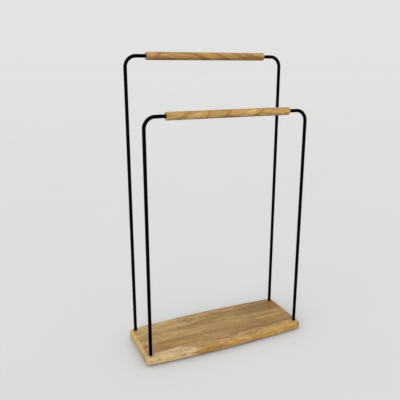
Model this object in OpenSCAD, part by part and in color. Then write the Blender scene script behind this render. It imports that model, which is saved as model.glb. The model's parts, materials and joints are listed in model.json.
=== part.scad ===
// Valet stand: a wooden base board carries two upright frames of bent round bar, a tall one behind
// a short one, and each frame holds a turned wooden rail between its two bars.
// Millimetres. +Z is up, -Y is the front. The origin is on the floor, under the middle of the base.

/* [Base board] */
// Length of the base board, left to right
base_length = 529; // [380:1:700]
// Width of the base board at its two ends
base_width = 184; // [150:1:260]
// How far each long edge bows out past the straight line between its ends
edge_bow = 10.5; // [2:0.5:20]
// Thickness of the base board
base_thickness = 25; // [22:0.5:36]
// Radius of the four corners, seen from above
corner_radius = 14; // [11:0.5:30]
// Radius of the rounded top edge
top_round = 9.5; // [3:0.5:10]
// Radius of the rounded bottom edge
bottom_round = 6.5; // [2:0.5:8]

/* [Staves] */
// Width of the front stave, measured at the ends of the board; three inner staves share the rest
front_stave_width = 25.5; // [25:0.5:40]
// Width of the rear stave, measured at the ends of the board
rear_stave_width = 29.5; // [25:0.5:40]

/* [Frame bars] */
// Diameter of the round bar
bar_diameter = 10; // [8:0.5:14]
// Radius of the bends, on the centre line of the bar
bend_radius = 31; // [20:0.5:50]
// Distance of each bar's centre from the end of the board
bar_end_inset = 17; // [15:0.5:40]
// Distance of each bar's centre from the long edge, measured at the ends of the board
bar_side_inset = 16.5; // [15:0.5:40]
// Height of the rear rail's centre above the top of the board
rear_rail_height = 835; // [500:1:1100]
// Height of the front rail's centre above the top of the board
front_rail_height = 683.5; // [400:0.5:1000]

/* [Rails] */
// Diameter of the wooden rails
rail_diameter = 22.5; // [20:0.5:36]
// Length of straight bar that shows between a bend and the end of the rail
bare_bar = 29; // [5:0.5:60]
// Length of bar glued into each end of a rail
glued_length = 60; // [30:1:75]
// Size of the eased edge at the ends of a rail
rail_end_ease = 1.5; // [0.5:0.25:3]

/* [Bar fixings] */
// Depth of the blind sockets in the board's top
socket_depth = 12; // [8:0.5:14]
// Major diameter of the screws' thread
screw_diameter = 6; // [4:0.5:6]
// Length of the screws under the head
screw_length = 20; // [18:1:24]
// Diameter of the screws' heads
head_diameter = 10.5; // [9:0.5:12]
// Height of the screws' heads
head_height = 3.3; // [2.5:0.1:4]
// Distance across the flats of the hexagon socket in each head
hex_across_flats = 4; // [3:0.5:4.5]
// Depth of the hexagon socket
hex_depth = 2; // [1:0.1:2.2]
// Outside diameter of the washers
washer_diameter = 14; // [12:0.5:16]
// Thickness of the washers
washer_thickness = 1.6; // [1:0.1:2]
// Depth of the recesses that hide the heads and washers
recess_depth = 6.5; // [5.5:0.1:7]

/* [Foot pads] */
// Diameter of the rubber pads
pad_diameter = 20; // [12:1:24]
// Thickness of the rubber pads
pad_thickness = 3; // [1.5:0.5:6]
// Distance of each pad's centre from the end of the board
pad_end_inset = 44; // [40:1:80]
// Distance of each pad's centre from the long edge, measured at the ends of the board
pad_side_inset = 24; // [20:1:40]
// Size of the eased edge under each pad
pad_ease = 0.8; // [0.2:0.1:1]

/* [Clearances] */
// Gap all round a bar in its socket and in a rail's bore
bar_clearance = 0.1; // [0.05:0.05:0.3]
// Room left at the blind end of a rail's bore
glue_room = 2; // [1:0.5:5]
// Gap all round a screw's thread in the bar
thread_clearance = 0.05; // [0.02:0.01:0.1]
// Room left past a screw's tip
tip_room = 2; // [1:0.5:5]
// Gap all round a screw where it passes through the board and the washer
screw_clearance = 0.25; // [0.1:0.05:0.5]
// Gap all round a washer in its recess
washer_clearance = 1; // [0.5:0.1:1.5]

/* [Hidden] */
CORNERS = ["front_left", "front_right", "rear_left", "rear_right"];
ROWS = ["front", "rear"];
STAVES = [1 : 5];

WOOD = "#b08a5c";
RAIL_WOOD = "#b28a56";
BLACK = "#17181a";
ZINC = "#b9bcc0";
RUBBER = "#2a2a2a";

// Heights above the floor
board_bottom = pad_thickness;
board_top = board_bottom + base_thickness;
bar_bottom = board_top - socket_depth;
seat_height = board_bottom + recess_depth;
rail_height = [board_top + front_rail_height, board_top + rear_rail_height];

// Places of the bars and pads, given for the right rear corner
bar_x = base_length / 2 - bar_end_inset;
bar_y = base_width / 2 - bar_side_inset;
pad_x = base_length / 2 - pad_end_inset;
pad_y = base_width / 2 - pad_side_inset;

// Sizes that follow from the ones above
bar_radius = bar_diameter / 2;
rail_length = 2 * (bar_x - bend_radius - bare_bar);
arm_length = bare_bar + glued_length;
bar_end_ease = 0.5;
screw_tip = seat_height - washer_thickness + screw_length;
tapped_top = screw_tip + tip_room;

// Where stave k is glued to the next one
inner_stave_width = (base_width - front_stave_width - rear_stave_width) / 3;
function glue_line(k) = front_stave_width - base_width / 2 + (k - 1) * inner_stave_width;

// Seen from above, the bowed rear edge is an arc about a point on the Y axis, and each rear corner is
// an arc that touches both that edge and the end of the board
edge_x = base_length / 2;
edge_radius = (edge_x * edge_x + edge_bow * edge_bow) / (2 * edge_bow);
edge_centre_y = base_width / 2 + edge_bow - edge_radius;
corner_x = edge_x - corner_radius;
corner_slant = asin(corner_x / (edge_radius - corner_radius));
corner_y = edge_centre_y + (edge_radius - corner_radius) * cos(corner_slant);

// Steps in each bowed edge, in each corner and in each rounded edge of the outer staves
edge_steps = 16;
corner_steps = 8;
round_steps = 6;
$fn = 64;

// -1 or 1 for the left or right and the front or rear of corner c
function side(c) = c % 2 == 0 ? -1 : 1;
function row(c) = c < 2 ? -1 : 1;

// Puts a piece of the right rear corner, drawn at [x, y], at corner c
module at_corner(c, x, y, z) translate([side(c) * x, row(c) * y, z]) children();

// The board's section from 0 out to reach, with its top and bottom edges rounded there
module edge_section(reach) difference() {
    translate([0, board_bottom]) square([reach, base_thickness]);
    translate([reach - top_round, board_top - top_round]) difference() {
        square(top_round + 1);
        circle(r = top_round);
    }
    translate([reach - bottom_round, board_bottom + bottom_round]) mirror([0, 1]) difference() {
        square(bottom_round + 1);
        circle(r = bottom_round);
    }
}

// A strip of board from y = front to y = rear, with rounded edges at its two ends
module strip(front, rear) translate([0, rear, 0]) rotate([90, 0, 0]) linear_extrude(rear - front) {
    edge_section(edge_x);
    mirror([1, 0]) edge_section(edge_x);
}

// The right rear corner, the bowed rear edge and the whole outline, each seen from above and drawn in
// from the edge by inset
function corner_arc(inset) = [for (i = [0 : corner_steps])
    let (a = (90 - corner_slant) * i / corner_steps, r = corner_radius - inset)
    [corner_x + r * cos(a), corner_y + r * sin(a)]];
function bow_arc(inset) = [for (i = [1 : edge_steps - 1])
    let (a = corner_slant * (1 - 2 * i / edge_steps), r = edge_radius - inset)
    [r * sin(a), edge_centre_y + r * cos(a)]];
function outline(inset) =
    let (corner = corner_arc(inset), rear = concat(corner, bow_arc(inset),
        [for (i = [corner_steps : -1 : 0]) [-corner[i].x, corner[i].y]]))
    concat(rear, [for (p = rear) -p]);

// The whole board with all its edges rounded, as rings of points from the bottom to the top
module board_blank() {
    turns = [for (i = [0 : round_steps]) 90 * i / round_steps];
    rings = concat(
        [for (a = turns) [for (p = outline(bottom_round * (1 - sin(a))))
            [p.x, p.y, board_bottom + bottom_round * (1 - cos(a))]]],
        [for (a = turns) [for (p = outline(top_round * (1 - cos(a))))
            [p.x, p.y, board_top - top_round * (1 - sin(a))]]]);
    n = len(rings[0]);
    last = len(rings) - 1;
    polyhedron([for (ring = rings) each ring], concat(
        [[for (j = [0 : n - 1]) j]],
        [for (k = [0 : last - 1], j = [0 : n - 1])
            [k * n + j, (k + 1) * n + j, (k + 1) * n + (j + 1) % n, k * n + (j + 1) % n]],
        [[for (j = [n - 1 : -1 : 0]) last * n + j]]));
}

// A socket above, and a recess and a screw hole below, at every bar
module bar_holes() for (c = [0 : 3]) at_corner(c, bar_x, bar_y, 0) {
    translate([0, 0, bar_bottom]) cylinder(r = bar_radius + bar_clearance, h = socket_depth + 1);
    cylinder(r = screw_diameter / 2 + screw_clearance, h = bar_bottom + 1);
    cylinder(r = washer_diameter / 2 + washer_clearance, h = seat_height);
}

// Stave i of the board, counted from the front; the outer two run out to the board's edges
module base_stave(i) {
    front = glue_line(i - 1);
    rear = glue_line(i);
    color(WOOD) difference() {
        if (i == 1 || i == 5) intersection() {
            board_blank();
            translate([-base_length, i == 1 ? rear - base_width : front, 0])
                cube([2 * base_length, base_width, board_top + 1]);
        }
        else strip(front, rear);
        bar_holes();
    }
}

// One bent bar: upright, bend and the arm that is glued into the rail, ending at the tapped foot
module frame_bar(c) {
    height = rail_height[row(c) < 0 ? 0 : 1];
    arm_turn = side(c) > 0 ? 180 : 0;
    color(BLACK) at_corner(c, bar_x, bar_y, 0) rotate([0, 0, arm_turn]) difference() {
        union() {
            translate([0, 0, bar_bottom])
                cylinder(r1 = bar_radius - bar_end_ease, r2 = bar_radius, h = bar_end_ease);
            translate([0, 0, bar_bottom + bar_end_ease])
                cylinder(r = bar_radius, h = height - bend_radius - bar_bottom - bar_end_ease);
            translate([bend_radius, 0, height - bend_radius]) rotate([90, 0, 0]) rotate([0, 0, 90])
                rotate_extrude(angle = 90) translate([bend_radius, 0]) circle(r = bar_radius);
            translate([bend_radius, 0, height]) rotate([0, 90, 0])
                cylinder(r = bar_radius, h = arm_length);
        }
        translate([0, 0, bar_bottom - 1])
            cylinder(r = screw_diameter / 2 + thread_clearance, h = tapped_top - bar_bottom + 1);
    }
}

// A turned rail with eased ends and a blind bore in each end
module rail(r) {
    bore_depth = glued_length + glue_room;
    color(RAIL_WOOD) translate([0, (2 * r - 1) * bar_y, rail_height[r]])
        rotate([0, 90, 0]) difference() {
            rotate_extrude() polygon([
                [0, -rail_length / 2],
                [rail_diameter / 2 - rail_end_ease, -rail_length / 2],
                [rail_diameter / 2, -rail_length / 2 + rail_end_ease],
                [rail_diameter / 2, rail_length / 2 - rail_end_ease],
                [rail_diameter / 2 - rail_end_ease, rail_length / 2],
                [0, rail_length / 2]]);
            for (s = [-1, 1]) translate([0, 0, s * rail_length / 2]) mirror([0, 0, s > 0 ? 1 : 0])
                translate([0, 0, -1]) cylinder(r = bar_radius + bar_clearance, h = bore_depth + 1);
        }
}

// A domed screw with a hexagon socket, pointing up into the foot of a bar
module screw(c) {
    head_steps = 6;
    head_top = seat_height - washer_thickness;
    dome = [for (i = [0 : head_steps]) [
        head_diameter / 2 * cos(60 * i / head_steps),
        -head_height * sin(60 * i / head_steps) / sin(60)]];
    color(ZINC) at_corner(c, bar_x, bar_y, head_top) difference() {
        union() {
            rotate_extrude() polygon(concat([[0, 0]], dome, [[0, -head_height]]));
            cylinder(r = screw_diameter / 2, h = screw_length);
        }
        translate([0, 0, -head_height - 1])
            cylinder(d = hex_across_flats / cos(30), h = hex_depth + 1, $fn = 6);
    }
}

// A flat washer between a screw's head and the board
module washer(c) color(ZINC) at_corner(c, bar_x, bar_y, seat_height - washer_thickness) difference() {
    cylinder(d = washer_diameter, h = washer_thickness);
    translate([0, 0, -1]) cylinder(r = screw_diameter / 2 + screw_clearance, h = washer_thickness + 2);
}

// A round pad stuck under the board
module pad(c) color(RUBBER) at_corner(c, pad_x, pad_y, 0) union() {
    cylinder(r1 = pad_diameter / 2 - pad_ease, r2 = pad_diameter / 2, h = pad_ease);
    translate([0, 0, pad_ease]) cylinder(d = pad_diameter, h = pad_thickness - pad_ease);
}

for (i = STAVES) base_stave(i);
for (r = [0 : 1]) rail(r);
for (c = [0 : 3]) {
    frame_bar(c);
    screw(c);
    washer(c);
    pad(c);
}
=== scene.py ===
import json
import math

import bmesh
import bpy
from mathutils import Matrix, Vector

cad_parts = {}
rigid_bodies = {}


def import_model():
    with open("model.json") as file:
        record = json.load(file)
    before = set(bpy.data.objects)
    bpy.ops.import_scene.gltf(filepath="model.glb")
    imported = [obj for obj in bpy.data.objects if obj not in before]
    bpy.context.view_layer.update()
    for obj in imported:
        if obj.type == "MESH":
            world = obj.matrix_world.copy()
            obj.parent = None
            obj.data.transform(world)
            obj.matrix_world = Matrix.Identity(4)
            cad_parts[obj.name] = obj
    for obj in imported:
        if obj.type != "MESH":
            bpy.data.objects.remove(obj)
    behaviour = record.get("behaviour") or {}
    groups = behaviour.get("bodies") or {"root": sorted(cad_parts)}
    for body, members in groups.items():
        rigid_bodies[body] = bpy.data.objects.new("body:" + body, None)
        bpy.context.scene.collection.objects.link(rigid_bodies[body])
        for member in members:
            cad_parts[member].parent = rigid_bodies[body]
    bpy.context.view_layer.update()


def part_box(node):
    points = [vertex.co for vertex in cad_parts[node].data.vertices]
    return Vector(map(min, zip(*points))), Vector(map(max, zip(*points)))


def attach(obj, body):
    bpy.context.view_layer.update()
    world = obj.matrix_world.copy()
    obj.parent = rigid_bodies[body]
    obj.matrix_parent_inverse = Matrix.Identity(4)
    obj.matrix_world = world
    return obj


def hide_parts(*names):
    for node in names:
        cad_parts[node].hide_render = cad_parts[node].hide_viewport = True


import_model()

MM = 0.001
TINY = 0.00002
QUARTER = math.pi / 2

STAVES = ["base_stave_%d" % number for number in range(1, 6)]
CORNERS = ["front_left", "front_right", "rear_left", "rear_right"]
SIDES = ["front", "rear"]


# ---------------------------------------------------------------- bench work

def clear_bench():
    """Leave edit mode with nothing selected, so that the next tool acts on one piece."""
    if bpy.context.mode != "OBJECT":
        bpy.ops.object.mode_set(mode="OBJECT")
    bpy.ops.object.select_all(action="DESELECT")


def take(piece):
    """Make one piece the only one selected."""
    clear_bench()
    piece.select_set(True)
    bpy.context.view_layer.objects.active = piece


def edit(mode):
    """Go into edit mode on the piece in hand, choosing by VERT, EDGE or FACE."""
    bpy.ops.object.mode_set(mode="EDIT")
    bpy.ops.mesh.select_mode(type=mode)


def choose(kind, test):
    """Select only the verts, edges or faces that pass the test."""
    bpy.ops.mesh.select_mode(type={"verts": "VERT", "edges": "EDGE", "faces": "FACE"}[kind])
    bpy.ops.mesh.select_all(action="DESELECT")
    mesh = bmesh.from_edit_mesh(bpy.context.object.data)
    for element in getattr(mesh, kind):
        if test(element):
            element.select_set(True)
    mesh.select_flush_mode()
    bmesh.update_edit_mesh(bpy.context.object.data)


def at_height(face, z):
    """True for a level face at height z."""
    return abs(face.normal.z) > 0.99 and abs(face.calc_center_median().z - z) < TINY


def extrude(x=0.0, y=0.0, z=0.0):
    """Pull the chosen faces out by a move."""
    bpy.ops.mesh.extrude_region_move(TRANSFORM_OT_translate={"value": (x, y, z)})


def shrink(factor, centre):
    """Scale what is chosen about a centre, level with it."""
    bpy.ops.transform.resize(value=(factor, factor, 1), center_override=centre)


def turn_piece(centre, axis, sides, steps):
    """A piece as turned on a lathe: steps are (place along the axis, radius), end to end."""
    place, radius = steps[0]
    along = Vector([float(axis == letter) for letter in "xyz"])
    level = [1.0 - part for part in along]
    clear_bench()
    bpy.ops.mesh.primitive_circle_add(
        vertices=sides, radius=radius, fill_type="NGON", location=Vector(centre) + along * place,
        rotation=(0, QUARTER, 0) if axis == "x" else (0, 0, 0))
    piece = bpy.context.object
    bpy.ops.object.transform_apply(location=True, rotation=True, scale=False)
    edit("FACE")
    bpy.ops.mesh.select_all(action="SELECT")
    for next_place, next_radius in steps[1:]:
        extrude(*(along * (next_place - place)))
        factor = next_radius / radius
        bpy.ops.transform.resize(
            value=[factor if flat else 1.0 for flat in level],
            center_override=Vector(centre) + along * next_place)
        place, radius = next_place, next_radius
    bpy.ops.mesh.select_all(action="SELECT")
    bpy.ops.mesh.remove_doubles(threshold=0.000002)
    bpy.ops.mesh.normals_make_consistent(inside=False)
    clear_bench()
    return piece


def finish_mesh(piece, angle=35):
    """Place the piece in its mesh, face it outwards and smooth it up to an angle."""
    take(piece)
    bpy.ops.object.transform_apply(location=True, rotation=True, scale=True)
    edit("VERT")
    bpy.ops.mesh.select_all(action="SELECT")
    bpy.ops.mesh.remove_doubles(threshold=0.000002)
    bpy.ops.mesh.normals_make_consistent(inside=False)
    clear_bench()
    take(piece)
    bpy.ops.object.shade_smooth_by_angle(angle=math.radians(angle))
    clear_bench()


def even_normals(piece):
    """Keep the broad flats flat beside their rounded rims."""
    take(piece)
    weighted = piece.modifiers.new("flat faces", "WEIGHTED_NORMAL")
    weighted.keep_sharp = True
    weighted.weight = 100
    bpy.ops.object.modifier_apply(modifier=weighted.name)
    clear_bench()


def copy_piece(piece, name, move=(0, 0, 0), half_turn=False):
    """A copy with its own mesh, turned half round the stand's middle if asked, then moved."""
    twin = piece.copy()
    twin.data = piece.data.copy()
    twin.name = name
    bpy.context.collection.objects.link(twin)
    if half_turn:
        twin.rotation_euler = (0, 0, 2 * QUARTER)
    twin.location = move
    take(twin)
    bpy.ops.object.transform_apply(location=True, rotation=True, scale=False)
    clear_bench()
    return twin


def copy_to(piece, name, first_node, node):
    """A copy moved from one CAD node's place to another's."""
    return copy_piece(piece, name, middle(node) - middle(first_node))


def cut_with(piece, cutter):
    """Cut one piece's shape out of another."""
    take(piece)
    cut = piece.modifiers.new("cut", "BOOLEAN")
    cut.operation = "DIFFERENCE"
    cut.solver = "EXACT"
    cut.object = cutter
    bpy.ops.object.modifier_apply(modifier=cut.name)
    clear_bench()


def discard(piece):
    """Throw away a cutter or a blank."""
    mesh = piece.data
    bpy.data.objects.remove(piece)
    bpy.data.meshes.remove(mesh)


def fit(piece, name, node):
    """Put a finished piece in the place of its CAD node."""
    piece.name = name
    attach(piece, "root")
    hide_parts(node)
    return piece


# ------------------------------------------------------- measures of the stand

stave_boxes = [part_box(node) for node in STAVES]
BOARD_END = stave_boxes[0][1].x
BOARD_BOTTOM = stave_boxes[0][0].z
BOARD_TOP = stave_boxes[0][1].z
BOARD_HALF_WIDTH = stave_boxes[4][1].y
GLUE_LINES = [box[1].y for box in stave_boxes[:4]]
EDGE_BOW = 10.5 * MM
CORNER_RADIUS = 14 * MM
TOP_ROUND = 9.5 * MM
BOTTOM_ROUND = 6.5 * MM
BAR_RADIUS = 5 * MM
BEND_RADIUS = 31 * MM
WASHER_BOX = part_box("washer_front_left")
WASHER_THICKNESS = WASHER_BOX[1].z - WASHER_BOX[0].z
RECESS_TOP = WASHER_BOX[1].z
RECESS_RADIUS = 8.0 * MM
SCREW_HOLE_RADIUS = 3.25 * MM
SOCKET_RADIUS = 5.1 * MM
SOCKET_RIM_RADIUS = 5.7 * MM
SHANK_RADIUS = 3.0 * MM
TAPPED_RADIUS = 3.05 * MM
TAPPED_DEPTH = 13.9 * MM
BORE_DEPTH = 62 * MM
SOCKET_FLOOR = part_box("bar_front_left")[0].z


def middle(node):
    """The centre of a CAD node's box."""
    low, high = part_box(node)
    return (low + high) / 2


# -------------------------------------------------------------- shader writing

class Reading:
    """One output in a shader, which takes part in sums as a number does."""

    def __init__(self, finish, socket):
        self.finish = finish
        self.socket = socket

    def sum(self, operation, *values):
        return self.finish.node("ShaderNodeMath", {"operation": operation}, *values).value

    def __add__(self, other):
        return self.sum("ADD", self, other)

    def __radd__(self, other):
        return self.sum("ADD", other, self)

    def __sub__(self, other):
        return self.sum("SUBTRACT", self, other)

    def __rsub__(self, other):
        return self.sum("SUBTRACT", other, self)

    def __mul__(self, other):
        return self.sum("MULTIPLY", self, other)

    def __rmul__(self, other):
        return self.sum("MULTIPLY", other, self)

    def __truediv__(self, other):
        return self.sum("DIVIDE", self, other)

    def __rtruediv__(self, other):
        return self.sum("DIVIDE", other, self)

    def __abs__(self):
        return self.sum("ABSOLUTE", self)

    def __mod__(self, other):
        return self.sum("FLOORED_MODULO", self, other)

    def __rmod__(self, other):
        return self.sum("FLOORED_MODULO", other, self)


class Outputs:
    """The outputs of a new node."""

    def __init__(self, finish, node):
        self.finish = finish
        self.node = node

    @property
    def value(self):
        live = [socket for socket in self.node.outputs if socket.enabled]
        return Reading(self.finish, live[0])

    def out(self, name):
        return Reading(self.finish, self.node.outputs[name])


class Finish:
    """A finish for a material, or for the studio's world, written as sums."""

    def __init__(self, owner, main="Principled BSDF"):
        owner.use_nodes = True
        self.owner = owner
        self.nodes = owner.node_tree.nodes
        self.links = owner.node_tree.links
        self.main = self.nodes[main]
        self.texture = self.node("ShaderNodeTexCoord")
        self.place = self.texture.out("Object")

    def node(self, kind, settings=None, *values, **named):
        """Add a node: its type, its settings, then the values or links of its sockets."""
        node = self.nodes.new(kind)
        for setting, value in (settings or {}).items():
            if setting == "stops":
                for element, (position, colour) in zip(node.color_ramp.elements, value):
                    element.position = position
                    element.color = colour
            else:
                setattr(node, setting, value)
        sockets = [socket for socket in node.inputs if socket.enabled]
        for socket, value in zip(sockets, values):
            self.feed(socket, value)
        for name, value in named.items():
            self.feed(node.inputs[name.replace("_", " ")], value)
        return Outputs(self, node)

    def feed(self, socket, value):
        if isinstance(value, Reading):
            self.links.new(value.socket, socket)
        else:
            socket.default_value = value

    def give(self, **named):
        """Set or link the main shader's sockets."""
        for name, value in named.items():
            self.feed(self.main.inputs[name.replace("_", " ")], value)

    def axes(self, vector):
        """The three numbers of a vector."""
        split = self.node("ShaderNodeSeparateXYZ", None, vector)
        return split.out("X"), split.out("Y"), split.out("Z")

    def mapped(self, vector, move=(0, 0, 0), turn=(0, 0, 0), stretch=(1, 1, 1)):
        return self.node(
            "ShaderNodeMapping", {"vector_type": "POINT"},
            Vector=vector, Location=move, Rotation=turn, Scale=stretch).value

    def vector(self, operation, *values):
        return self.node("ShaderNodeVectorMath", {"operation": operation}, *values).value

    def noise(self, vector, scale, detail=2.0, rough=0.5, twist=0.0):
        """Cloudy noise from 0 to 1, with scale in waves for each metre."""
        return self.node(
            "ShaderNodeTexNoise", {"noise_dimensions": "3D"},
            Vector=vector, Scale=scale, Detail=detail, Roughness=rough, Distortion=twist).value

    def cells(self, vector, scale):
        """Distance to the nearest of many scattered points."""
        return self.node(
            "ShaderNodeTexVoronoi", {"feature": "F1"}, Vector=vector, Scale=scale).value

    def step(self, value, low, high):
        """A soft step: 0 below low, 1 above high, or the other way round."""
        return self.node(
            "ShaderNodeMapRange", {"interpolation_type": "SMOOTHSTEP"},
            Value=value, From_Min=low, From_Max=high, To_Min=0.0, To_Max=1.0).value

    def mix(self, amount, first, second, blend="MIX"):
        """Blend two colours."""
        return self.node(
            "ShaderNodeMix", {"data_type": "RGBA", "blend_type": blend, "clamp_factor": True},
            amount, first, second).value

    def bump(self, height, distance, strength=1.0):
        """Turn a height into a normal."""
        return self.node(
            "ShaderNodeBump", None, Strength=strength, Distance=distance, Height=height).value


def shade(red, green, blue):
    """A colour given in screen values from 0 to 255."""
    linear = []
    for value in (red, green, blue):
        level = value / 255
        linear.append(level / 12.92 if level <= 0.04045 else ((level + 0.055) / 1.055) ** 2.4)
    return (*linear, 1.0)


# ------------------------------------------------------------------ the finishes

VEIN = shade(112, 70, 34)
SAP = shade(150, 128, 82)


def wood_finish(
        name, pith, lean, ring, pale, deep, drift,
        patches=(), edges=(), painted_falloff=0.0, figure=1.0, banding=0.7):
    """Oiled hardwood, grown in rings about a pith that runs nearly along the piece.

    pith is where the tree's centre passes, lean its turn from the piece's length, ring the
    width of a year's growth, pale and deep the wood's two colours, drift a move that gives
    each piece its own figure, patches soft areas of other colour (place, size, raggedness,
    amount, colour, and a slant where there is one), edges its glued edges,
    painted_falloff how much painted shade deepens it towards its right end, standing in for
    light falling off away from the left, figure how strong its flames are
    and banding how much one year differs from the next.
    """
    wood = Finish(bpy.data.materials.new(name))
    moved = wood.vector("ADD", wood.place, drift)

    # The fibre wanders slowly along the piece.
    bend = wood.noise(wood.mapped(moved, stretch=(5, 14, 14)), 1.0, 2.0)
    ripple = wood.noise(wood.mapped(moved, stretch=(16, 60, 60)), 1.0, 3.0)
    across = wood.vector(
        "MULTIPLY", wood.mapped(wood.place, move=(0, -pith[0], -pith[1]), turn=lean), (0, 1, 1))
    centre_line = wood.node("ShaderNodeVectorMath", {"operation": "LENGTH"}, across).out("Value")
    radius = centre_line + (bend - 0.5) * 0.022 + (ripple - 0.5) * 0.004
    year = (radius / ring) % 1.0
    late = wood.step(year, 0.3, 0.9) * (1 - wood.step(year, 0.92, 1.0))

    # Some years grow darker than others.
    age = wood.noise(wood.node("ShaderNodeCombineXYZ", None, radius, 0.0, 0.0).value, 95.0, 2.0)
    streak = wood.noise(wood.mapped(moved, stretch=(3.2, 60, 60)), 1.0, 3.0, 0.55)
    flame = wood.noise(wood.mapped(moved, stretch=(20, 150, 150)), 1.0, 4.0, 0.65, 0.8)
    fibre = wood.noise(wood.mapped(moved, stretch=(22, 1300, 1300)), 1.0, 3.0, 0.6)
    fleck = wood.noise(wood.mapped(moved, stretch=(65, 300, 300)), 1.0, 3.0, 0.6, 0.6)
    cloud = wood.noise(wood.mapped(moved, stretch=(7, 16, 16)), 1.0, 2.0)

    # Open pores are short dark dashes, thickest where a year's growth starts.
    pore_field = wood.cells(wood.mapped(moved, stretch=(75, 1500, 1500)), 1.0)
    early = 1 - wood.step(year, 0.12, 0.45)
    pores = (1 - wood.step(pore_field, 0.16, 0.34)) * (0.25 + 0.75 * early)

    along_place, across_place, height = wood.axes(wood.place)
    tone = (streak - 0.5) * 1.0 + (flame - 0.5) * 1.5 * figure + (cloud - 0.5) * 0.9
    # Painted shade: the tone deepens towards the right end, standing in for light falling off away from
    # the left.
    tone = tone + (age - 0.5) * banding + 0.5 + along_place * painted_falloff
    colour = wood.mix(wood.step(tone, 0.0, 1.0), pale, deep)
    for spot, size, soft, amount, tint, *slant in patches:
        away = wood.vector("SUBTRACT", wood.place, spot)
        if slant:
            away = wood.mapped(away, turn=(0, slant[0], 0))
        away = wood.vector("MULTIPLY", away, tuple(1 / length for length in size))
        reach = wood.node("ShaderNodeVectorMath", {"operation": "LENGTH"}, away).out("Value")
        reach = reach + (flame - 0.5) * soft + (cloud - 0.5) * soft
        colour = wood.mix((1 - wood.step(reach, 0.7, 1.3)) * amount, colour, tint)
    dark_flame = wood.step(flame, 0.52, 0.72) * (0.22 * figure)
    light_flame = (1 - wood.step(flame, 0.26, 0.44)) * (0.16 * figure)
    colour = wood.mix(dark_flame, colour, VEIN, "MULTIPLY")
    colour = wood.mix(light_flame, colour, SAP, "SCREEN")
    colour = wood.mix(wood.step(fleck, 0.52, 0.68) * (0.26 * figure), colour, VEIN, "MULTIPLY")
    colour = wood.mix((1 - wood.step(fleck, 0.3, 0.44)) * (0.1 * figure), colour, SAP, "SCREEN")
    colour = wood.mix(late * 0.3, colour, VEIN, "MULTIPLY")
    colour = wood.mix((fibre - 0.42) * 0.8, colour, VEIN, "MULTIPLY")
    colour = wood.mix(pores * 0.45, colour, VEIN, "MULTIPLY")

    # A sawn end shows the years as stripes, and a glued edge shows as a dark hairline.
    facing, _, _ = wood.axes(wood.node("ShaderNodeNewGeometry").out("Normal"))
    sawn = wood.step(abs(facing), 0.45, 0.95)
    colour = wood.mix(sawn * late * 0.45, colour, VEIN, "MULTIPLY")
    for edge in edges:
        gap = abs(across_place - edge)
        hairline = (1 - wood.step(gap, 0.00012, 0.0004)) * 0.6
        stain = (1 - wood.step(gap, 0.0, 0.003)) * wood.step(cloud + streak, 0.8, 1.2) * 0.4
        colour = wood.mix(hairline + stain, colour, VEIN, "MULTIPLY")

    # Painted shade: the lowest rim of the board is darkened, standing in for the shade under its bottom
    # edge.
    painted_rim_shade = (1 - wood.step(height, BOARD_BOTTOM + 0.5 * MM, BOARD_BOTTOM + 5 * MM)) * 0.3
    colour = wood.mix(painted_rim_shade, colour, VEIN, "MULTIPLY")

    grain_height = fibre * 0.35 - pores * 0.9 - late * 0.12
    wood.give(
        Base_Color=colour,
        Roughness=0.52 + (fibre - 0.5) * 0.2 + pores * 0.12 + sawn * 0.08 + (cloud - 0.5) * 0.1,
        Normal=wood.bump(grain_height, 0.00012, 0.5),
        Specular_IOR_Level=0.2,
    )
    return wood.owner


def coat_finish():
    """Matt black powder coat: a fine pebbled skin."""
    coat = Finish(bpy.data.materials.new("black_powder_coat"))
    pebble = coat.noise(coat.place, 1500.0, 2.0, 0.55)
    swell = coat.noise(coat.place, 260.0, 2.0)
    dust = coat.noise(coat.place, 38.0, 3.0)
    coat.give(
        Base_Color=coat.mix(dust, shade(1, 1, 1), shade(4, 4, 4)),
        Roughness=0.62 + (pebble - 0.5) * 0.2 + (dust - 0.5) * 0.12,
        Normal=coat.bump(pebble * 0.7 + swell * 0.5, 0.00006, 0.5),
        Specular_IOR_Level=0.008,
    )
    return coat.owner


def zinc_finish():
    """Bright zinc plate with a faint mottle and turning marks."""
    zinc = Finish(bpy.data.materials.new("zinc_plate"))
    mottle = zinc.noise(zinc.place, 420.0, 3.0, 0.6)
    scratch = zinc.noise(zinc.mapped(zinc.place, stretch=(900, 5200, 900)), 1.0, 2.0)
    zinc.give(
        Base_Color=zinc.mix(mottle, shade(172, 176, 180), shade(206, 207, 204)),
        Metallic=1.0,
        Roughness=0.3 + (mottle - 0.5) * 0.2 + (scratch - 0.5) * 0.14,
        Normal=zinc.bump(scratch, 0.00002, 0.4),
    )
    return zinc.owner


def rubber_finish():
    """Grey-black moulded rubber, a little dusty."""
    rubber = Finish(bpy.data.materials.new("moulded_rubber"))
    grit = rubber.noise(rubber.place, 2200.0, 2.0, 0.6)
    dust = rubber.noise(rubber.place, 120.0, 4.0, 0.6)
    rubber.give(
        Base_Color=rubber.mix(rubber.step(dust, 0.35, 0.8), shade(34, 34, 35), shade(66, 64, 62)),
        Roughness=0.78 + (grit - 0.5) * 0.2,
        Normal=rubber.bump(grit, 0.00008, 0.6),
        Specular_IOR_Level=0.3,
    )
    return rubber.owner


# ------------------------------------------------------------------- base board

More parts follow.
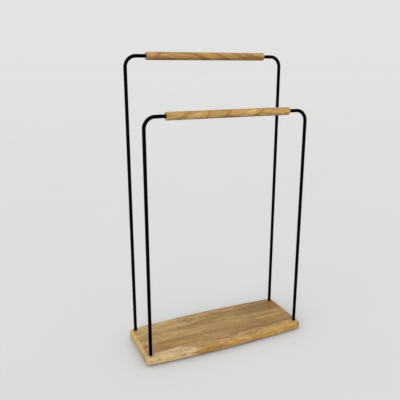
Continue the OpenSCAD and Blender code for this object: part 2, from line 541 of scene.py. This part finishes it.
def make_board():
    """The whole board: bowed long edges, rounded corners and rounded rims."""
    columns = 24
    clear_bench()
    bpy.ops.mesh.primitive_grid_add(
        x_subdivisions=columns, y_subdivisions=1, size=1, location=(0, 0, BOARD_BOTTOM))
    board = bpy.context.object
    half_end = BOARD_HALF_WIDTH - EDGE_BOW
    board.scale = (2 * BOARD_END, 2 * half_end, 1)
    bpy.ops.object.transform_apply(location=True, rotation=False, scale=True)
    bow_radius = (BOARD_END ** 2 + EDGE_BOW ** 2) / (2 * EDGE_BOW)
    edit("VERT")
    for column in range(columns + 1):
        x = BOARD_END * (2 * column / columns - 1)
        drop = bow_radius - math.sqrt(bow_radius ** 2 - x ** 2)
        choose("verts", lambda vert: abs(vert.co.x - x) < TINY)
        bpy.ops.transform.resize(
            value=(1, (BOARD_HALF_WIDTH - drop) / half_end, 1), center_override=(0, 0, 0))
    bpy.ops.mesh.select_all(action="SELECT")
    extrude(z=BOARD_TOP - BOARD_BOTTOM)

    # Upright corners, then the rims.
    choose("edges", lambda edge: (
        all(abs(vert.co.x) > BOARD_END - TINY for vert in edge.verts)
        and abs(edge.verts[0].co.z - edge.verts[1].co.z) > TINY))
    slope = math.asin(BOARD_END / bow_radius)
    tangent = CORNER_RADIUS * math.tan((QUARTER - slope) / 2)
    bpy.ops.mesh.bevel(offset=tangent, segments=10, affect="EDGES")
    choose("edges", lambda edge: rim_edge(edge, BOARD_TOP))
    bpy.ops.mesh.bevel(offset=TOP_ROUND, segments=9, affect="EDGES")
    choose("edges", lambda edge: rim_edge(edge, BOARD_BOTTOM))
    bpy.ops.mesh.bevel(offset=BOTTOM_ROUND, segments=7, affect="EDGES")
    clear_bench()
    return board


def rim_edge(edge, z):
    """True for an edge between a level face at height z and a side."""
    level = [abs(face.normal.z) > 0.99 for face in edge.link_faces]
    return all(abs(vert.co.z - z) < TINY for vert in edge.verts) and level.count(True) == 1


def make_hole_cutter(x, y):
    """A stepped cutter: recess from beneath, screw hole, and the bar's socket with an eased rim."""
    return turn_piece((x, y, 0), "z", 48, [
        (BOARD_BOTTOM - 2 * MM, RECESS_RADIUS),
        (RECESS_TOP, RECESS_RADIUS),
        (RECESS_TOP, SCREW_HOLE_RADIUS),
        (SOCKET_FLOOR, SCREW_HOLE_RADIUS),
        (SOCKET_FLOOR, SOCKET_RADIUS),
        (BOARD_TOP - 0.4 * MM, SOCKET_RADIUS),
        (BOARD_TOP + 0.2 * MM, SOCKET_RIM_RADIUS),
        (BOARD_TOP + 3 * MM, SOCKET_RIM_RADIUS),
    ])


def make_stave(board, number):
    """Saw one stave out of the board along its glue lines."""
    stave = copy_piece(board, "stave_%d" % number)
    take(stave)
    edit("FACE")
    if number > 1:
        bpy.ops.mesh.select_all(action="SELECT")
        bpy.ops.mesh.bisect(
            plane_co=(0, GLUE_LINES[number - 2], 0), plane_no=(0, 1, 0),
            use_fill=True, clear_inner=True)
    if number < 5:
        bpy.ops.mesh.select_all(action="SELECT")
        bpy.ops.mesh.bisect(
            plane_co=(0, GLUE_LINES[number - 1], 0), plane_no=(0, 1, 0),
            use_fill=True, clear_outer=True)
    clear_bench()
    return stave


# ------------------------------------------------------------------------ rails

def make_rail(node):
    """A turned rail with eased ends and a deep bore in each end for the bars."""
    low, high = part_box(node)
    centre = (low + high) / 2
    half = (high.x - low.x) / 2
    radius = (high.z - low.z) / 2
    bore = BAR_RADIUS + 0.1 * MM
    rim = 0.3 * MM
    ease = 1.5 * MM
    end = [(half - BORE_DEPTH, bore), (half - rim, bore), (half, bore + rim), (half, radius - ease)]
    for number in range(1, 7):
        angle = QUARTER * number / 6
        end.append((
            half - ease * (1 - math.cos(angle)), radius - ease * (1 - math.sin(angle))))
    body = [(half * part / 6, radius) for part in range(-5, 6)]
    steps = [(-along, wide) for along, wide in end] + body + end[::-1]
    rail = turn_piece(centre, "x", 96, steps)
    finish_mesh(rail)
    even_normals(rail)
    return rail


# ------------------------------------------------------------------------- bars

def make_bar(node, bend_radius):
    """A round bar, bent over at the top, with a tapped hole in its foot."""
    low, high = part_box(node)
    way = 1 if low.x < 0 else -1
    foot_x = low.x + BAR_RADIUS if way > 0 else high.x - BAR_RADIUS
    y = (low.y + high.y) / 2
    arm_z = high.z - BAR_RADIUS
    tip_x = high.x if way > 0 else low.x
    ease = 0.5 * MM
    clear_bench()
    bpy.ops.mesh.primitive_circle_add(
        vertices=48, radius=BAR_RADIUS - ease, fill_type="NGON", location=(foot_x, y, low.z))
    bar = bpy.context.object
    bpy.ops.object.transform_apply(location=True, rotation=False, scale=False)
    edit("FACE")
    bpy.ops.mesh.select_all(action="SELECT")
    foot = (foot_x, y, low.z)
    extrude(z=ease)
    shrink(BAR_RADIUS / (BAR_RADIUS - ease), foot)
    stretches = 12
    for _ in range(stretches):
        extrude(z=(arm_z - bend_radius - low.z - ease) / stretches)
    bpy.ops.mesh.spin(
        steps=24, angle=-way * QUARTER, dupli=False,
        center=(foot_x + way * bend_radius, y, arm_z - bend_radius), axis=(0, 1, 0))
    choose("faces", lambda face: (
        face.normal.x * way > 0.99 and len(face.verts) > 4
        and abs(face.calc_center_median().z - arm_z) < MM))
    arm = abs(tip_x - foot_x) - bend_radius - ease
    extrude(x=way * arm)
    extrude(x=way * ease)
    factor = (BAR_RADIUS - ease) / BAR_RADIUS
    bpy.ops.transform.resize(value=(1, factor, factor), center_override=(tip_x, y, arm_z))

    # The tapped hole.
    choose("faces", lambda face: face.normal.z < -0.99 and at_height(face, low.z))
    bpy.ops.mesh.inset(thickness=BAR_RADIUS - ease - TAPPED_RADIUS)
    extrude(z=TAPPED_DEPTH)
    clear_bench()
    finish_mesh(bar)
    return bar


# ---------------------------------------------------------------- small fittings

def make_screw(node):
    """A button-head screw, pointing up, with a six-sided socket in its domed head."""
    low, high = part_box(node)
    x, y, _ = middle(node)
    head_radius = (high.x - low.x) / 2
    seat = RECESS_TOP - WASHER_THICKNESS
    head_height = seat - low.z
    clear_bench()
    bpy.ops.mesh.primitive_circle_add(
        vertices=48, radius=head_radius, fill_type="NGON", location=(x, y, seat))
    screw = bpy.context.object
    bpy.ops.object.transform_apply(location=True, rotation=False, scale=False)
    edit("FACE")
    bpy.ops.mesh.select_all(action="SELECT")

    # The head: a short straight rim, then the dome, then a flat top.
    rim = 0.5 * MM
    extrude(z=-rim)
    dome_steps = 7
    narrowing = 0.42
    sweep = math.radians(58)
    radius, depth = head_radius, 0.0
    for number in range(1, dome_steps + 1):
        turn = sweep * number / dome_steps
        next_radius = head_radius * (1 - narrowing * (1 - math.cos(turn)) / (1 - math.cos(sweep)))
        next_depth = (head_height - rim) * math.sin(turn) / math.sin(sweep)
        extrude(z=depth - next_depth)
        shrink(next_radius / radius, (x, y, seat))
        radius, depth = next_radius, next_depth

    # The six-sided socket, with a short cone under it.
    key_half_width = 2.0 * MM
    hex_radius = key_half_width / math.cos(math.radians(30))
    bpy.ops.mesh.inset(thickness=0.35 * MM)
    clear_bench()
    bpy.ops.mesh.primitive_circle_add(
        vertices=6, radius=hex_radius, fill_type="NGON", location=(x, y, low.z - 1 * MM))
    key = bpy.context.object
    bpy.ops.object.transform_apply(location=True, rotation=False, scale=False)
    edit("FACE")
    bpy.ops.mesh.select_all(action="SELECT")
    extrude(z=3.0 * MM)
    extrude(z=0.5 * MM)
    shrink(0.35, (x, y, low.z))
    bpy.ops.mesh.select_all(action="SELECT")
    bpy.ops.mesh.normals_make_consistent(inside=False)
    clear_bench()
    take(screw)
    edit("FACE")

    # The shank, drawn up out of the head's seat.
    choose("faces", lambda face: at_height(face, seat))
    bpy.ops.mesh.inset(thickness=head_radius - SHANK_RADIUS)
    shank = high.z - seat
    point = 0.7 * MM
    extrude(z=shank - point)
    extrude(z=point)
    shrink(0.8, (x, y, high.z))
    bpy.ops.mesh.select_all(action="SELECT")
    bpy.ops.mesh.normals_make_consistent(inside=False)
    clear_bench()
    cut_with(screw, key)
    discard(key)
    finish_mesh(screw, 30)
    return screw


def make_washer(node):
    """A flat washer with softened rims."""
    low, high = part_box(node)
    centre = (low + high) / 2
    clear_bench()
    bpy.ops.mesh.primitive_cylinder_add(
        vertices=64, radius=(high.x - low.x) / 2, depth=high.z - low.z,
        end_fill_type="NGON", location=centre)
    washer = bpy.context.object
    bpy.ops.object.transform_apply(location=True, rotation=False, scale=False)
    edit("FACE")
    choose("faces", lambda face: abs(face.normal.z) > 0.99)
    bpy.ops.mesh.inset(thickness=(high.x - low.x) / 2 - SCREW_HOLE_RADIUS)
    bpy.ops.mesh.bridge_edge_loops()
    choose("edges", lambda edge: (
        len(edge.link_faces) == 2
        and abs(edge.link_faces[0].normal.z - edge.link_faces[1].normal.z) > 0.9))
    bpy.ops.mesh.bevel(offset=0.22 * MM, segments=3, affect="EDGES")
    clear_bench()
    finish_mesh(washer)
    return washer


def make_pad(node):
    """A round rubber pad with an eased rim and two moulded rings in its tread."""
    low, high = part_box(node)
    centre = (low + high) / 2
    radius = (high.x - low.x) / 2
    clear_bench()
    bpy.ops.mesh.primitive_cylinder_add(
        vertices=64, radius=radius, depth=high.z - low.z, end_fill_type="NGON", location=centre)
    pad = bpy.context.object
    bpy.ops.object.transform_apply(location=True, rotation=False, scale=False)
    edit("EDGE")
    choose("edges", lambda edge: rim_edge(edge, low.z))
    bpy.ops.mesh.bevel(offset=0.8 * MM, segments=5, affect="EDGES")
    choose("faces", lambda face: at_height(face, low.z))
    groove = 0.45 * MM
    for wide, narrow in ((2.2 * MM, 0.8 * MM), (1.9 * MM, 0.8 * MM)):
        bpy.ops.mesh.inset(thickness=wide)
        bpy.ops.mesh.inset(thickness=groove / 2, depth=-groove)
        bpy.ops.mesh.inset(thickness=narrow)
        bpy.ops.mesh.inset(thickness=groove / 2, depth=groove)
    clear_bench()
    finish_mesh(pad, 28)
    return pad


# ------------------------------------------------------------------ putting together

coat = coat_finish()
zinc = zinc_finish()
rubber = rubber_finish()

board = make_board()
for number, node in enumerate(STAVES, 1):
    stave = make_stave(board, number)
    if number in (1, 5):
        y = middle("screw_front_left").y if number == 1 else middle("screw_rear_left").y
        for x in (middle("screw_front_left").x, middle("screw_front_right").x):
            cutter = make_hole_cutter(x, y)
            cut_with(stave, cutter)
            discard(cutter)
    finish_mesh(stave)
    even_normals(stave)
    fit(stave, "board_stave_%d" % number, node)
discard(board)

first_rail = make_rail("rail_front")
rails = {"front": first_rail, "rear": copy_to(first_rail, "rail", "rail_front", "rail_rear")}
for side, rail in rails.items():
    fit(rail, "hanging_rail_" + side, "rail_" + side)

for side in SIDES:
    left_bar = make_bar("bar_%s_left" % side, BEND_RADIUS)
    left_bar.data.materials.append(coat)
    turned_place = (0, 2 * middle("bar_%s_left" % side).y, 0)
    right_bar = copy_piece(left_bar, "bar", turned_place, half_turn=True)
    fit(left_bar, "bent_bar_%s_left" % side, "bar_%s_left" % side)
    fit(right_bar, "bent_bar_%s_right" % side, "bar_%s_right" % side)

fittings = [
    ("button_screw_", "screw_", make_screw, zinc, "zinc_plate"),
    ("flat_washer_", "washer_", make_washer, zinc, "zinc_plate"),
    ("foot_pad_", "pad_", make_pad, rubber, "rubber"),
]
for piece_name, node_name, make, finish, slot in fittings:
    first_node = node_name + CORNERS[0]
    first = make(first_node)
    first.data.materials.append(finish)
    copies = [copy_to(first, "copy", first_node, node_name + corner) for corner in CORNERS[1:]]
    for corner, piece in zip(CORNERS, [first] + copies):
        fit(piece, piece_name + corner, node_name + corner)


# -------------------------------------------------------------------------- woods

def oiled(red, green, blue):
    """A wood colour, from how it should look on the board's top under the studio light."""
    return (*[max(level - 0.02, 0.004) / 1.82 for level in shade(red, green, blue)[:3]], 1.0)


TOP = BOARD_TOP
PALE_CORNER = ((-0.196, -0.094, TOP), (0.086, 0.0165, 0.06), 2.4, 0.85, oiled(206, 181, 134))
# Partly painted highlight: the board's left end is made paler, both for its lighter end grain and for
# the light falling on it from the left.
PALE_END_AND_HIGHLIGHT = ((-0.264, 0.010, TOP), (0.010, 0.085, 0.020), 1.0, 0.8, oiled(200, 172, 112))
GOLD_FRONT = ((0.195, -0.096, TOP), (0.075, 0.015, 0.06), 2.6, 0.8, oiled(190, 153, 84))
GOLD_MIDDLE = ((0.010, -0.099, TOP), (0.070, 0.013, 0.06), 2.6, 0.6, oiled(194, 155, 96))
RED_FRONT = ((0.100, -0.092, TOP), (0.030, 0.014, 0.06), 1.8, 0.6, oiled(162, 116, 66))
KNOT = ((-0.227, -0.0985, TOP), (0.0075, 0.0044, 0.014), 0.4, 0.95, oiled(98, 68, 36))
BROWN_BACK = ((0.190, 0.045, TOP), (0.105, 0.032, 0.06), 1.8, 0.75, oiled(134, 98, 36))
PALE_BACK = ((-0.120, 0.045, TOP), (0.045, 0.012, 0.05), 1.8, 0.7, oiled(194, 164, 112))
LIGHT_STREAK = ((0.195, -0.018, TOP), (0.055, 0.008, 0.05), 1.0, 0.8, oiled(186, 152, 88))
GREY_BACK = ((0.200, 0.096, TOP), (0.090, 0.010, 0.05), 1.0, 0.5, oiled(148, 124, 86))

# pith, lean, ring width, pale, deep, painted falloff (painted shade deepening towards the right end),
# figure, patches, from front to rear
stave_woods = [
    ((-0.100, -0.045), (0, 0.02, 0.012), 0.0026, (190, 156, 98), (158, 118, 62), 0.2, 1.9,
     [PALE_CORNER, PALE_END_AND_HIGHLIGHT, GOLD_MIDDLE, RED_FRONT, GOLD_FRONT, KNOT]),
    ((-0.030, -0.060), (0, 0.015, -0.02), 0.0023, (178, 141, 86), (142, 104, 48), 0.6, 0.8,
     [PALE_END_AND_HIGHLIGHT, LIGHT_STREAK]),
    ((0.015, 0.110), (0, -0.02, 0.015), 0.0028, (186, 152, 96), (150, 114, 56), 0.6, 0.9,
     [PALE_END_AND_HIGHLIGHT, LIGHT_STREAK]),
    ((0.030, -0.050), (0, 0.018, 0.01), 0.0024, (188, 156, 100), (142, 106, 48), 1.1, 1.1,
     [PALE_END_AND_HIGHLIGHT, PALE_BACK, BROWN_BACK]),
    ((0.100, 0.090), (0, -0.015, -0.018), 0.0027, (196, 164, 110), (144, 110, 54), 1.3, 1.1,
     [PALE_END_AND_HIGHLIGHT, BROWN_BACK, GREY_BACK]),
]
for number, entry in enumerate(stave_woods, 1):
    pith, lean, ring, pale, deep, painted_falloff, figure, patches = entry
    edges = [line for index, line in enumerate(GLUE_LINES) if index in (number - 2, number - 1)]
    wood = wood_finish(
        "board_wood_%d" % number, pith, lean, ring, oiled(*pale), oiled(*deep),
        (1.7 * number, 0.37 * number, 0.11 * number), patches, edges, painted_falloff, figure)
    bpy.data.objects["board_stave_%d" % number].data.materials.append(wood)

FRONT_RAIL = middle("rail_front")
REAR_RAIL = middle("rail_rear")


def rail_mark(centre, along, spread, amount, tint, slant=50):
    """A ragged band of other colour that runs slantwise across a rail, at a place along it."""
    return (
        (centre.x + along, centre.y, centre.z), (spread, 0.030, 0.030), 2.6, amount,
        oiled(*tint), -math.radians(slant))


rail_woods = {
    "front": (
        (-0.125, 0.660), (0, 0.10, 0.09), 0.0026, (200, 166, 105), (156, 116, 60), 3.1, [
            rail_mark(FRONT_RAIL, -0.139, 0.0040, 0.55, (146, 108, 56), 62),
            rail_mark(FRONT_RAIL, -0.104, 0.0050, 0.40, (222, 186, 122), 66),
            rail_mark(FRONT_RAIL, -0.071, 0.0035, 0.60, (144, 102, 54), 30),
            rail_mark(FRONT_RAIL, -0.012, 0.0045, 0.55, (146, 104, 54), 40),
            rail_mark(FRONT_RAIL, 0.058, 0.0080, 0.60, (216, 178, 112), 62),
            rail_mark(FRONT_RAIL, 0.088, 0.0038, 0.60, (146, 104, 56), 58),
            rail_mark(FRONT_RAIL, 0.125, 0.0030, 0.55, (148, 110, 58), 40),
        ]),
    "rear": (
        (0.040, 0.820), (0, -0.11, 0.07), 0.0024, (187, 151, 99), (150, 109, 59), 5.3, [
            rail_mark(REAR_RAIL, -0.156, 0.0040, 0.60, (140, 102, 56), 45),
            rail_mark(REAR_RAIL, -0.030, 0.0034, 0.65, (136, 94, 48), -66),
            rail_mark(REAR_RAIL, 0.004, 0.0060, 0.65, (202, 162, 84), -66),
            rail_mark(REAR_RAIL, 0.042, 0.0034, 0.65, (140, 96, 54), -66),
            rail_mark(REAR_RAIL, 0.104, 0.0030, 0.50, (140, 100, 56), -70),
            rail_mark(REAR_RAIL, 0.148, 0.0030, 0.50, (140, 100, 56), -70),
        ]),
}
for side, (pith, lean, ring, pale, deep, drift, patches) in rail_woods.items():
    wood = wood_finish(
        "rail_wood_" + side, pith, lean, ring, oiled(*pale), oiled(*deep), (drift, 0.4, 0.7),
        patches, figure=1.0, banding=1.5)
    bpy.data.objects["hanging_rail_" + side].data.materials.append(wood)


# ------------------------------------------------------------------------- studio

FLOOR_RADIUS = 60
WORLD_LIGHT = 1.8
LOW_BACKDROP = (0.765, 0.763, 0.750, 1)
HIGH_BACKDROP = (0.785, 0.783, 0.770, 1)
LIGHT_SPREAD = 28
CAMERA_PLACE = (-0.6201, -1.2570, 0.8358)
CAMERA_AIM = (0.3939, 0.8795, -0.2671)
CAMERA_LENS = 43.49
CAMERA_SENSOR = 36


def soft_light(name, source, target, strength, spread):
    """A soft light from far off, so that it falls evenly on the whole floor."""
    data = bpy.data.lights.new(name, "SUN")
    data.energy = strength
    data.angle = math.radians(spread)
    light = bpy.data.objects.new(name, data)
    light.location = source
    light.rotation_euler = (Vector(target) - Vector(source)).to_track_quat("-Z", "Y").to_euler()
    bpy.context.collection.objects.link(light)


clear_bench()
bpy.ops.mesh.primitive_circle_add(vertices=96, radius=FLOOR_RADIUS, fill_type="NGON", location=(0, 0, 0))
floor = bpy.context.object
floor.name = "floor"
paint = Finish(bpy.data.materials.new("pale_floor"))
floor_cloud = paint.noise(paint.place, 1.3, 2.0)
paint.give(
    Base_Color=paint.mix(floor_cloud, (0.337, 0.335, 0.330, 1), (0.348, 0.345, 0.339, 1)),
    Roughness=0.9,
    Specular_IOR_Level=0.1,
)
floor.data.materials.append(paint.owner)

world = bpy.data.worlds.new("studio")
bpy.context.scene.world = world
sky = Finish(world, "World Output")
_, _, up = sky.axes(sky.texture.out("Generated"))
fade = sky.node("ShaderNodeValToRGB", {"stops": [
    (0.0, LOW_BACKDROP),
    (0.16, HIGH_BACKDROP),
]}, up)
light = sky.node("ShaderNodeBackground", None, (1.0, 1.0, 1.0, 1), WORLD_LIGHT)
backdrop = sky.node("ShaderNodeBackground", None, fade.value, 1.0)
seen = sky.node("ShaderNodeLightPath").out("Is Camera Ray")
sky.give(Surface=sky.node("ShaderNodeMixShader", None, seen, light.value, backdrop.value).value)

soft_light("key", (-1.8, -2.5, 1.1), (0, 0, 0.4), 2.9, LIGHT_SPREAD)
soft_light("side", (-2.6, -0.5, 0.8), (-0.2, 0, 0.2), 1.3, LIGHT_SPREAD)

camera_data = bpy.data.cameras.new("camera")
camera_data.lens = CAMERA_LENS
camera_data.sensor_width = CAMERA_SENSOR
camera = bpy.data.objects.new("camera", camera_data)
camera.location = CAMERA_PLACE
camera.rotation_euler = Vector(CAMERA_AIM).to_track_quat("-Z", "Y").to_euler()
bpy.context.collection.objects.link(camera)
bpy.context.scene.camera = camera
bpy.context.scene.view_settings.view_transform = "Standard"
